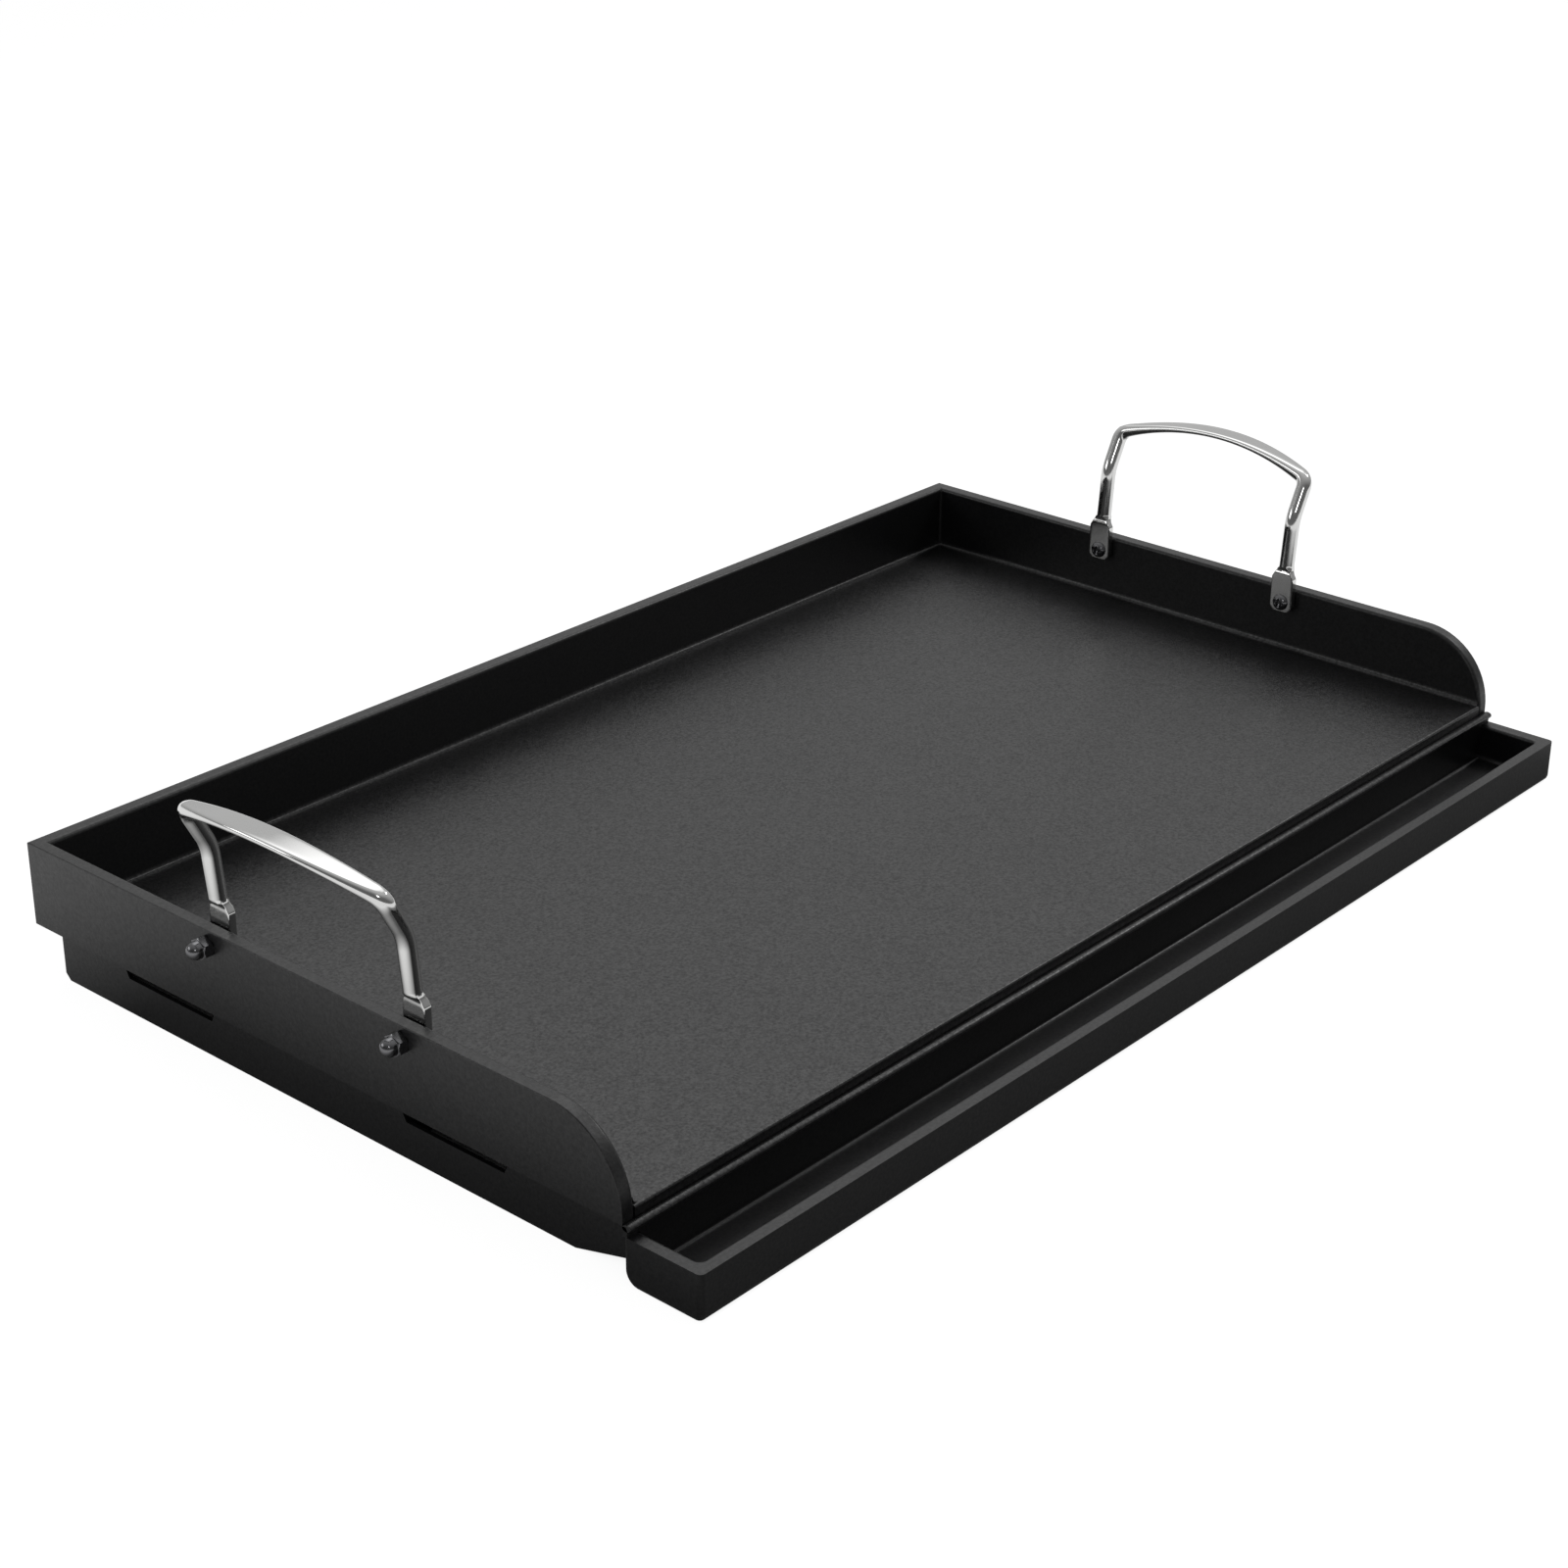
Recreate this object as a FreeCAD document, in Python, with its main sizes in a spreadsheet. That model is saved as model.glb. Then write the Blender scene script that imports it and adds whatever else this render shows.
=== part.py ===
import os

import FreeCAD
import Part
import Sketcher

# Flat-top griddle plate: a coated plate with raised walls on three sides, a grease trough along the
# front, a sheet-metal skirt that stands on the grate, and a bolted bow handle on each side wall.
#
# Frame: +X along the length, +Y from the trough to the back wall, +Z up.
# The origin is on the resting surface, under the middle of the plate and trough.

doc = FreeCAD.newDocument("griddle")

DIMENSIONS = {
    # Pan: the plate and the three walls, over everything but the trough.
    "pan_length": 635.0,
    "pan_depth": 360.4,
    "plate_thick": 5.5,
    "plate_edge_round": 1.2,
    "wall_thick": 7.0,
    "wall_rise": 39.9,
    "wall_front_round": 37.0,
    "rim_inner_round": 2.0,
    "rim_outer_round": 0.5,
    # Trough along the front, and the rail that hangs it from the plate.
    "trough_depth": 39.6,
    "trough_wall": 6.8,
    "trough_floor": 3.4,
    "trough_rim_drop": 4.35,
    "trough_back_round": 7.0,
    "trough_bottom_round": 3.5,
    "trough_end_round": 2.5,
    "trough_inner_round": 2.5,
    "trough_rim_round": 1.9,
    "rail_sheet": 2.4,
    "rail_flange": 15.0,
    "rail_lip_round": 1.5,
    # Skirt of folded sheet that stands on the grate; its sides lap the plate's edges from below.
    "base_rise": 25.9,
    "skirt_sheet": 2.0,
    "skirt_side_inset": 0.4,
    "skirt_back_inset": 10.9,
    "skirt_front_run": 30.7,
    "skirt_front_rise": 8.3,
    "skirt_back_chamfer": 3.0,
    "notch_length": 65.0,
    "notch_slope": 4.5,
    "notch_drop": 8.7,
    "notch_pitch": 177.3,
    "notch_middle_shift": 5.3,
    # Braces under the plate.
    "brace_sheet": 2.0,
    "brace_flange": 20.0,
    "brace_web": 18.0,
    "brace_pitch": 90.0,
    # Screws and cap nuts.
    "screw_dia": 5.0,
    "screw_hole_clearance": 0.5,
    "screw_rise": 32.5,
    "screw_pitch": 118.6,
    "handle_shift": -1.6,
    "head_dia": 9.0,
    "head_rise": 3.2,
    "head_round": 2.6,
    "recess_span": 4.6,
    "recess_width": 1.1,
    "recess_drop": 1.4,
    "nut_flats": 9.0,
    "nut_hex_rise": 4.5,
    "nut_dome_dia": 8.0,
    "nut_collar_rise": 1.4,
    "nut_bore_play": 0.1,
    "nut_grip": 6.0,
    "nut_bore_rise": 7.0,
    # Handles: a round rod with pressed ends and a pressed, arched grip.
    "rod_dia": 8.0,
    "tab_thick": 4.0,
    "tab_width": 13.0,
    "tab_below_screw": 5.0,
    "tab_chamfer": 2.0,
    "tab_shoulder_rise": 13.5,
    "tab_neck_rise": 19.1,
    "leg_shift": 1.5,
    "bend_shift": 2.5,
    "bend_rise": 44.9,
    "corner_shift": 10.2,
    "corner_rise": 19.5,
    "grip_shift": 7.3,
    "grip_rise": 10.1,
    "grip_width": 12.6,
    "grip_thick": 3.0,
}

sheet = doc.addObject("Spreadsheet::Sheet", "dimensions")
for row, (alias, value) in enumerate(DIMENSIONS.items(), start=1):
    sheet.set(f"A{row}", alias)
    sheet.set(f"B{row}", str(value))
    sheet.setAlias(f"B{row}", alias)
doc.recompute()


def size(alias):
    """A dimension as a number, for picking edges and laying out first guesses."""
    return float(sheet.get(alias))


def cell(text):
    """An expression in which every dimension's alias is replaced by its sheet cell."""
    words = []
    word = ""
    for sign in text + " ":
        if sign.isalnum() or sign in "_.":
            word += sign
            continue
        words.append(f"<<dimensions>>.{word}" if word in DIMENSIONS else word)
        words.append(sign)
        word = ""
    return "".join(words).strip()


def number(text):
    """The value of an expression of dimensions."""
    return float(FreeCAD.Units.Quantity(sheet.evalExpression(cell(text))).Value)


def drive(target, **properties):
    """Bind properties of an object to expressions of dimensions."""
    for name, text in properties.items():
        target.setExpression(name.replace("__", "."), cell(text))


def place(target, x="0", y="0", z="0"):
    """Bind an object's position."""
    drive(target, Placement__Base__x=x, Placement__Base__y=y, Placement__Base__z=z)


# Places that several pieces share.
HALF_LENGTH = "pan_length / 2"
BACK = "(pan_depth + trough_depth) / 2"
PAN_FRONT = "(trough_depth - pan_depth) / 2"
TROUGH_FRONT = "-(pan_depth + trough_depth) / 2"
WALL_INNER = "(pan_length / 2 - wall_thick)"
SKIRT_INNER = "(pan_length / 2 - wall_thick - skirt_side_inset)"
SKIRT_OUTER = "(pan_length / 2 - wall_thick - skirt_side_inset + skirt_sheet)"
TROUGH_RIM = "(base_rise - trough_rim_drop)"
PAN_MIDDLE = "(trough_depth / 2)"
HANDLE_MIDDLE = "(trough_depth / 2 + handle_shift)"

# How far a cut runs past the face it starts from.
CUT_PAST = "1"


def new_body(name):
    """A PartDesign body that becomes one node."""
    body = doc.addObject("PartDesign::Body", name)
    body.Label = name
    return body


def origin_plane(body, role):
    """One of the body's own origin planes."""
    return next(item for item in body.Origin.OriginFeatures if item.Role == role)


def sketch_on(body, name, role):
    """A sketch on one of the body's origin planes."""
    sketch = body.newObject("Sketcher::SketchObject", name)
    sketch.AttachmentSupport = [(origin_plane(body, role), "")]
    sketch.MapMode = "FlatFace"
    return sketch


def pin_point(sketch, geometry, end, across, up, name):
    """Dimension one end of a line from the sketch's origin, along both sketch axes."""
    for kind, text, tag in (("DistanceX", across, "across"), ("DistanceY", up, "up")):
        value = number(text)
        index = sketch.addConstraint(Sketcher.Constraint(kind, -1, 1, geometry, end, value))
        sketch.renameConstraint(index, f"{name}_{tag}")
        sketch.setExpression(f"Constraints.{name}_{tag}", cell(text))


def outline(sketch, corners):
    """A closed outline of straight lines through corners given as pairs of expressions."""
    points = [FreeCAD.Vector(number(across), number(up), 0) for across, up in corners]
    first = sketch.GeometryCount
    for index, start in enumerate(points):
        finish = points[(index + 1) % len(points)]
        sketch.addGeometry(Part.LineSegment(start, finish))
    for index, (across, up) in enumerate(corners):
        following = first + (index + 1) % len(corners)
        sketch.addConstraint(Sketcher.Constraint("Coincident", first + index, 2, following, 1))
        pin_point(sketch, first + index, 1, across, up, f"corner_{first + index}")


def hole(sketch, across, up, diameter):
    """A dimensioned circle."""
    centre = FreeCAD.Vector(number(across), number(up), 0)
    circle = Part.Circle(centre, FreeCAD.Vector(0, 0, 1), number(diameter) / 2)
    index = sketch.addGeometry(circle)
    pin_point(sketch, index, 3, across, up, f"hole_{index}")
    constraint = sketch.addConstraint(Sketcher.Constraint("Diameter", index, number(diameter)))
    sketch.renameConstraint(constraint, f"hole_{index}_size")
    sketch.setExpression(f"Constraints.hole_{index}_size", cell(diameter))


def pad(body, name, sketch, length, midplane=False, reverse=False):
    """A pad of a sketch."""
    feature = body.newObject("PartDesign::Pad", name)
    feature.Profile = sketch
    feature.Midplane = midplane
    feature.Reversed = reverse
    drive(feature, Length=length)
    sketch.Visibility = False
    doc.recompute()
    return feature


def pocket(body, name, sketch, length, midplane=False, reverse=False):
    """A pocket of a sketch, which must take material away."""
    before = body.Shape.Volume
    feature = body.newObject("PartDesign::Pocket", name)
    feature.Profile = sketch
    feature.Midplane = midplane
    feature.Reversed = reverse
    drive(feature, Length=length)
    sketch.Visibility = False
    doc.recompute()
    if body.Shape.Volume >= before:
        raise ValueError(f"{name} cuts nothing")
    return feature


def edges_where(shape, test):
    """Names of the edges whose bounding box passes a test."""
    return [f"Edge{n}" for n, edge in enumerate(shape.Edges, start=1) if test(edge.BoundBox)]


def fillet(body, name, radius, test):
    """A fillet on the edges of the body's tip that pass a test."""
    base = body.Tip
    names = edges_where(base.Shape, test)
    if not names:
        raise ValueError(f"{name} finds no edge")
    feature = body.newObject("PartDesign::Fillet", name)
    feature.Base = (base, names)
    drive(feature, Radius=radius)
    doc.recompute()
    return feature


NEAR = 0.01


def flat(low, high, value):
    """True when a box's two limits along an axis are both at a value."""
    return abs(low - value) < NEAR and abs(high - value) < NEAR


def at_either(low, high, value):
    """True when a box's two limits along an axis are both at a value or both at its opposite."""
    return flat(low, high, value) or flat(low, high, -value)


def make_cooking_plate():
    """The flat cooking plate between the walls; its front edge is eased."""
    body = new_body("cooking_plate")
    blank = sketch_on(body, "plate_blank", "XY_Plane")
    back = "(pan_depth - wall_thick)"
    outline(blank, [
        (f"-{WALL_INNER}", "0"),
        (WALL_INNER, "0"),
        (WALL_INNER, back),
        (f"-{WALL_INNER}", back),
    ])
    pad(body, "plate_sheet", blank, "plate_thick")
    top = size("plate_thick")
    fillet(body, "plate_front_edge", "plate_edge_round",
           lambda box: flat(box.YMin, box.YMax, 0) and flat(box.ZMin, box.ZMax, top))
    place(body, y=PAN_FRONT, z="base_rise")
    return body


def make_back_wall():
    """The back wall, mitred into both side walls."""
    body = new_body("back_wall")
    plan = sketch_on(body, "back_wall_plan", "XY_Plane")
    outline(plan, [
        (f"-{WALL_INNER}", "-wall_thick"),
        (WALL_INNER, "-wall_thick"),
        (HALF_LENGTH, "0"),
        (f"-{HALF_LENGTH}", "0"),
    ])
    pad(body, "back_wall_sheet", plan, "wall_rise")
    top = size("wall_rise")
    inner = -size("wall_thick")
    fillet(body, "back_wall_inner_rim", "rim_inner_round",
           lambda box: flat(box.ZMin, box.ZMax, top) and flat(box.YMin, box.YMax, inner))
    fillet(body, "back_wall_outer_rim", "rim_outer_round",
           lambda box: flat(box.ZMin, box.ZMax, top) and flat(box.YMin, box.YMax, 0))
    place(body, y=BACK, z="base_rise")
    return body


def make_side_wall(name, side):
    """A side wall: mitred at the back, rounded down at the front, with two screw holes."""
    body = new_body(name)
    plan = sketch_on(body, f"{name}_plan", "XY_Plane")
    inner_face = "wall_thick" if side < 0 else "-wall_thick"
    outline(plan, [
        ("0", "0"),
        (inner_face, "0"),
        (inner_face, "pan_depth - wall_thick"),
        ("0", "pan_depth"),
    ])
    pad(body, f"{name}_sheet", plan, "wall_rise")
    top = size("wall_rise")
    inner = number(inner_face)
    fillet(body, f"{name}_front_round", "wall_front_round",
           lambda box: flat(box.YMin, box.YMax, 0) and flat(box.ZMin, box.ZMax, top))
    for tag, place_x, radius in (("inner", inner, "rim_inner_round"), ("outer", 0, "rim_outer_round")):
        fillet(body, f"{name}_{tag}_rim", radius,
               lambda box, at=place_x: flat(box.XMin, box.XMax, at) and box.ZMax > NEAR
               and box.YMin < number("pan_depth - wall_thick") - NEAR)
    bores = sketch_on(body, f"{name}_bores", "YZ_Plane")
    for way in ("-", "+"):
        hole(bores, f"pan_depth / 2 + handle_shift {way} screw_pitch / 2", "screw_rise",
             "screw_dia + screw_hole_clearance")
    pocket(body, f"{name}_screw_holes", bores, f"2 * wall_thick + {CUT_PAST}", midplane=True)
    sign = "-" if side < 0 else ""
    place(body, x=f"{sign}{HALF_LENGTH}", y=PAN_FRONT, z="base_rise")
    return body


def make_grease_trough():
    """The trough: floor, front wall and end walls in one piece, open at the back for the rail."""
    body = new_body("grease_trough")
    blank = sketch_on(body, "trough_blank", "XY_Plane")
    outline(blank, [
        (f"-{HALF_LENGTH}", "-trough_depth"),
        (HALF_LENGTH, "-trough_depth"),
        (HALF_LENGTH, "0"),
        (f"-{HALF_LENGTH}", "0"),
    ])
    pad(body, "trough_block", blank, TROUGH_RIM)
    rim = number(TROUGH_RIM)
    floor = size("trough_floor")
    front = -size("trough_depth")
    half = size("pan_length") / 2
    inner_x = half - size("trough_wall")
    inner_y = front + size("trough_wall")
    fillet(body, "trough_back_edge", "trough_back_round",
           lambda box: flat(box.YMin, box.YMax, 0) and flat(box.ZMin, box.ZMax, 0))
    fillet(body, "trough_front_edge", "trough_bottom_round",
           lambda box: flat(box.YMin, box.YMax, front) and flat(box.ZMin, box.ZMax, 0))
    fillet(body, "trough_end_edges", "trough_end_round",
           lambda box: at_either(box.XMin, box.XMax, half) and box.ZMax < rim / 2 + NEAR
           and box.ZMin < NEAR)
    section = sketch_on(body, "trough_section", "YZ_Plane")
    outline(section, [
        ("-trough_depth + trough_wall", "trough_floor"),
        ("trough_wall", "trough_floor"),
        ("trough_wall", "base_rise"),
        ("-trough_depth + trough_wall", "base_rise"),
    ])
    pocket(body, "trough_hollow", section, "pan_length - 2 * trough_wall", midplane=True)
    fillet(body, "trough_corners", "trough_inner_round",
           lambda box: at_either(box.XMin, box.XMax, inner_x) and flat(box.YMin, box.YMax, inner_y))
    fillet(body, "trough_floor_bend", "trough_inner_round",
           lambda box: flat(box.ZMin, box.ZMax, floor) and flat(box.YMin, box.YMax, inner_y))
    fillet(body, "trough_rim_edge", "trough_rim_round",
           lambda box: flat(box.ZMin, box.ZMax, rim) and flat(box.YMin, box.YMax, inner_y))
    place(body, y=PAN_FRONT)
    return body


def make_drip_rail():
    """The folded rail under the plate's front edge: back of the trough, with a rounded lip."""
    body = new_body("drip_rail")
    face = sketch_on(body, "rail_face", "XZ_Plane")
    inner = "(pan_length / 2 - trough_wall)"
    outline(face, [
        (f"-{inner}", "trough_floor"),
        (inner, "trough_floor"),
        (inner, TROUGH_RIM),
        (HALF_LENGTH, TROUGH_RIM),
        (HALF_LENGTH, "base_rise"),
        (f"-{HALF_LENGTH}", "base_rise"),
        (f"-{HALF_LENGTH}", TROUGH_RIM),
        (f"-{inner}", TROUGH_RIM),
    ])
    pad(body, "rail_web", face, "rail_sheet")
    top = size("base_rise")
    front = -size("rail_sheet")
    fillet(body, "rail_lip", "rail_lip_round",
           lambda box: flat(box.ZMin, box.ZMax, top) and flat(box.YMin, box.YMax, front))
    low = size("trough_floor")
    fillet(body, "rail_lower_corners", "trough_inner_round",
           lambda box: flat(box.ZMin, box.ZMax, low) and flat(box.XMin, box.XMax, box.XMin)
           and box.YMax - box.YMin > size("rail_sheet") / 2)
    under = sketch_on(body, "rail_under", "YZ_Plane")
    outline(under, [
        ("-rail_sheet / 2", "base_rise - rail_sheet"),
        ("rail_flange", "base_rise - rail_sheet"),
        ("rail_flange", "base_rise"),
        ("-rail_sheet / 2", "base_rise"),
    ])
    pad(body, "rail_flange_sheet", under, f"2 * {SKIRT_INNER}", midplane=True)
    place(body, y=PAN_FRONT)
    return body


def make_side_skirt(name, side):
    """A side of the skirt: sloped at the front, with two vent notches in its top edge."""
    body = new_body(name)
    face = sketch_on(body, f"{name}_face", "YZ_Plane")
    length = "(pan_depth - skirt_back_inset)"
    points = [
        ("0", "skirt_front_rise"),
        ("skirt_front_run", "0"),
        (f"{length} - skirt_back_chamfer", "0"),
        (length, "skirt_back_chamfer"),
        (length, "base_rise"),
    ]
    middle = "pan_depth / 2 + notch_middle_shift"
    for way in ("+", "-"):
        centre = f"{middle} {way} notch_pitch / 2"
        points += [
            (f"{centre} + notch_length / 2", "base_rise"),
            (f"{centre} + notch_length / 2 - notch_slope", "base_rise - notch_drop"),
            (f"{centre} - notch_length / 2 + notch_slope", "base_rise - notch_drop"),
            (f"{centre} - notch_length / 2", "base_rise"),
        ]
    points.append(("0", "base_rise"))
    outline(face, points)
    pad(body, f"{name}_sheet", face, "skirt_sheet", reverse=side > 0)
    sign = "-" if side < 0 else ""
    place(body, x=f"{sign}{SKIRT_OUTER}", y=PAN_FRONT)
    return body


def make_rear_skirt():
    """The back of the skirt, between its two sides."""
    body = new_body("rear_skirt")
    face = sketch_on(body, "rear_skirt_face", "XZ_Plane")
    outline(face, [
        (f"-{SKIRT_INNER}", "0"),
        (SKIRT_INNER, "0"),
        (SKIRT_INNER, "base_rise"),
        (f"-{SKIRT_INNER}", "base_rise"),
    ])
    pad(body, "rear_skirt_sheet", face, "skirt_sheet")
    place(body, y=f"{BACK} - skirt_back_inset")
    return body


def make_cross_brace(name, way):
    """An angle brace across the underside of the plate, from skirt to skirt."""
    body = new_body(name)
    section = sketch_on(body, f"{name}_section", "YZ_Plane")
    outline(section, [
        ("0", "0"),
        ("brace_flange", "0"),
        ("brace_flange", "-brace_sheet"),
        ("brace_sheet", "-brace_sheet"),
        ("brace_sheet", "-brace_web"),
        ("0", "-brace_web"),
    ])
    pad(body, f"{name}_angle", section, f"2 * {SKIRT_INNER}", midplane=True)
    place(body, y=f"{PAN_MIDDLE} {way} brace_pitch / 2 - brace_flange / 2", z="base_rise")
    return body


def turned(axis, degrees):
    """A rotation about an axis."""
    return FreeCAD.Rotation(FreeCAD.Vector(*axis), degrees)


def rod_piece(name, y, start, finish):
    """A straight stretch of round rod in a plane across the handle, from start to finish.

    Each end is a pair of expressions: outward from the wall's inner face, and up from the screw.
    The first placement only sets the axis that the lean turns about.
    """
    rod = doc.addObject("Part::Cylinder", name)
    run = f"(({finish[0]}) - ({start[0]}))"
    climb = f"(({finish[1]}) - ({start[1]}))"
    rod.Placement = FreeCAD.Placement(FreeCAD.Vector(), turned((0, 1, 0), 1))
    drive(rod, Radius="rod_dia / 2", Height=f"sqrt({run} * {run} + {climb} * {climb})",
          Placement__Rotation__Angle=f"atan({run} / {climb})")
    place(rod, x=start[0], y=y, z=start[1])
    return rod


def ball(name, x, y, z):
    """The rounded turn between two stretches of rod."""
    sphere = doc.addObject("Part::Sphere", name)
    drive(sphere, Radius="rod_dia / 2")
    place(sphere, x=x, y=y, z=z)
    return sphere


TAB_MIDDLE = "(-tab_thick / 2)"
NECK = (f"({TAB_MIDDLE} + leg_shift)", "(tab_neck_rise - rod_dia / 4)")
BEND = (f"({TAB_MIDDLE} + leg_shift + bend_shift)", "bend_rise")
CORNER = (f"({TAB_MIDDLE} + leg_shift + bend_shift + corner_shift)", "(bend_rise + corner_rise)")
GRIP_STATIONS = 9


def make_tab(name, y):
    """The pressed end of the rod: chamfered foot, sloping shoulders and a screw hole."""
    tab = doc.addObject("Part::Extrusion", name)
    face = doc.addObject("Sketcher::SketchObject", f"{name}_face")
    face.Placement = FreeCAD.Placement(FreeCAD.Vector(), turned((1, 1, 1), 120))
    half = "tab_width / 2"
    right = [
        (f"{y} + {half} - tab_chamfer", "-tab_below_screw"),
        (f"{y} + {half}", "-tab_below_screw + tab_chamfer"),
        (f"{y} + {half}", "tab_shoulder_rise"),
        (f"{y} + rod_dia / 2", "tab_neck_rise"),
    ]
    left = [
        (f"{y} - rod_dia / 2", "tab_neck_rise"),
        (f"{y} - {half}", "tab_shoulder_rise"),
        (f"{y} - {half}", "-tab_below_screw + tab_chamfer"),
        (f"{y} - {half} + tab_chamfer", "-tab_below_screw"),
    ]
    outline(face, right + left)
    hole(face, y, "0", "screw_dia + screw_hole_clearance")
    tab.Base = face
    tab.DirMode = "Custom"
    tab.Dir = FreeCAD.Vector(-1, 0, 0)
    tab.Solid = True
    drive(tab, LengthFwd="tab_thick")
    return tab


def make_grip(name):
    """The arched grip: round at both corners, pressed wide and flat towards the middle.

    The middle line is a parabola that rises and leans outward; the section is an ellipse whose
    width grows and whose thickness shrinks by the same parabola.
    """
    sections = []
    for station in range(GRIP_STATIONS):
        along = -1 + 2 * station / (GRIP_STATIONS - 1)
        bulge = 1 - along * along
        section = doc.addObject("Part::Ellipse", f"{name}_section_{station}")
        section.Placement = FreeCAD.Placement(FreeCAD.Vector(), turned((1, 0, 0), 90))
        drive(section,
              MajorRadius=f"rod_dia / 2 + (grip_width - rod_dia) / 2 * {bulge}",
              MinorRadius=f"rod_dia / 2 - (rod_dia - grip_thick) / 2 * {bulge}")
        place(section, x=f"{CORNER[0]} + grip_shift * {bulge}", y=f"screw_pitch / 2 * ({along})",
              z=f"{CORNER[1]} + grip_rise * {bulge}")
        sections.append(section)
    grip = doc.addObject("Part::Loft", name)
    grip.Sections = sections
    grip.Solid = True
    grip.Ruled = False
    return grip


def make_handle(name, side):
    """A bow handle bolted against the inner face of a side wall."""
    pieces = [make_grip(f"{name}_grip")]
    for tag, y in (("front", "(-screw_pitch / 2)"), ("rear", "(screw_pitch / 2)")):
        pieces.append(make_tab(f"{name}_{tag}_tab", y))
        pieces.append(rod_piece(f"{name}_{tag}_lower_leg", y, NECK, BEND))
        pieces.append(ball(f"{name}_{tag}_bend", BEND[0], y, BEND[1]))
        pieces.append(rod_piece(f"{name}_{tag}_upper_leg", y, BEND, CORNER))
        pieces.append(ball(f"{name}_{tag}_corner", CORNER[0], y, CORNER[1]))
    handle = doc.addObject("Part::MultiFuse", name)
    handle.Label = name
    handle.Shapes = pieces
    handle.Placement = FreeCAD.Placement(FreeCAD.Vector(), turned((0, 0, 1), 0 if side > 0 else 180))
    sign = "-" if side < 0 else ""
    place(handle, x=f"{sign}{WALL_INNER}", y=HANDLE_MIDDLE, z="base_rise + screw_rise")
    return handle


def make_handle_screw(name, side, way):
    """A domed screw from the inside: its head bears on the tab and its shank ends in the cap nut."""
    body = new_body(name)
    head = sketch_on(body, f"{name}_head_face", "YZ_Plane")
    hole(head, "0", "0", "head_dia")
    pad(body, f"{name}_head", head, "head_rise", reverse=True)
    top = -size("head_rise")
    fillet(body, f"{name}_dome", "head_round", lambda box: flat(box.XMin, box.XMax, top))
    for tag, role in (("upright", "XZ_Plane"), ("level", "XY_Plane")):
        recess = sketch_on(body, f"{name}_{tag}_recess_face", role)
        outline(recess, [
            (f"-head_rise - {CUT_PAST}", "-recess_span / 2"),
            ("-head_rise + recess_drop", "-recess_span / 2"),
            ("-head_rise + recess_drop", "recess_span / 2"),
            (f"-head_rise - {CUT_PAST}", "recess_span / 2"),
        ])
        pocket(body, f"{name}_{tag}_recess", recess, "recess_width", midplane=True)
    shank = sketch_on(body, f"{name}_shank_face", "YZ_Plane")
    hole(shank, "0", "0", "screw_dia")
    pad(body, f"{name}_shank", shank, "tab_thick + wall_thick + nut_grip")
    body.Placement = FreeCAD.Placement(FreeCAD.Vector(), turned((0, 0, 1), 0 if side > 0 else 180))
    sign = "-" if side < 0 else ""
    place(body, x=f"{sign}({WALL_INNER} - tab_thick)", y=f"{HANDLE_MIDDLE} {way} screw_pitch / 2",
          z="base_rise + screw_rise")
    return body


def make_cap_nut(name, side, way):
    """A cap nut on the outer face: hexagon, collar and dome over a blind bore."""
    hexagon = doc.addObject("Part::Prism", f"{name}_hexagon")
    hexagon.Polygon = 6
    drive(hexagon, Circumradius="nut_flats / sqrt(3)", Height="nut_hex_rise")
    collar = doc.addObject("Part::Cylinder", f"{name}_collar")
    drive(collar, Radius="nut_dome_dia / 2", Height="nut_hex_rise + nut_collar_rise")
    dome = doc.addObject("Part::Sphere", f"{name}_dome")
    dome.Angle1 = 0
    drive(dome, Radius="nut_dome_dia / 2")
    place(dome, z="nut_hex_rise + nut_collar_rise")
    outside = doc.addObject("Part::MultiFuse", f"{name}_outside")
    outside.Shapes = [hexagon, collar, dome]
    bore = doc.addObject("Part::Cylinder", f"{name}_bore")
    drive(bore, Radius="(screw_dia + nut_bore_play) / 2", Height="nut_bore_rise")
    nut = doc.addObject("Part::Cut", name)
    nut.Label = name
    nut.Base = outside
    nut.Tool = bore
    nut.Placement = FreeCAD.Placement(FreeCAD.Vector(), turned((0, 1, 0), 90 * side))
    sign = "-" if side < 0 else ""
    place(nut, x=f"{sign}{HALF_LENGTH}", y=f"{HANDLE_MIDDLE} {way} screw_pitch / 2",
          z="base_rise + screw_rise")
    return nut


SIDES = (("left", -1), ("right", 1))
ENDS = (("front", "-"), ("rear", "+"))

nodes = [make_cooking_plate(), make_back_wall(), make_grease_trough(), make_drip_rail(), make_rear_skirt()]
for end, way in ENDS:
    nodes.append(make_cross_brace(f"{end}_cross_brace", way))
for side_name, side in SIDES:
    nodes.append(make_side_wall(f"{side_name}_side_wall", side))
    nodes.append(make_side_skirt(f"{side_name}_skirt", side))
    nodes.append(make_handle(f"{side_name}_handle", side))
    for end, way in ENDS:
        nodes.append(make_handle_screw(f"{side_name}_{end}_screw", side, way))
        nodes.append(make_cap_nut(f"{side_name}_{end}_cap_nut", side, way))

doc.recompute()

for item in doc.Objects:
    if "Invalid" in item.State or "Error" in item.State:
        raise RuntimeError(f"{item.Label} failed: {item.State}")
for node in nodes:
    if node.Shape.isNull() or not node.Shape.isValid():
        raise RuntimeError(f"{node.Label} has no valid shape")

os.makedirs("parts", exist_ok=True)
for node in nodes:
    node.Shape.exportStep(f"parts/{node.Label}.step")
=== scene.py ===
import math

import bpy
import numpy as np
from mathutils import Matrix, Vector


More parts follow.
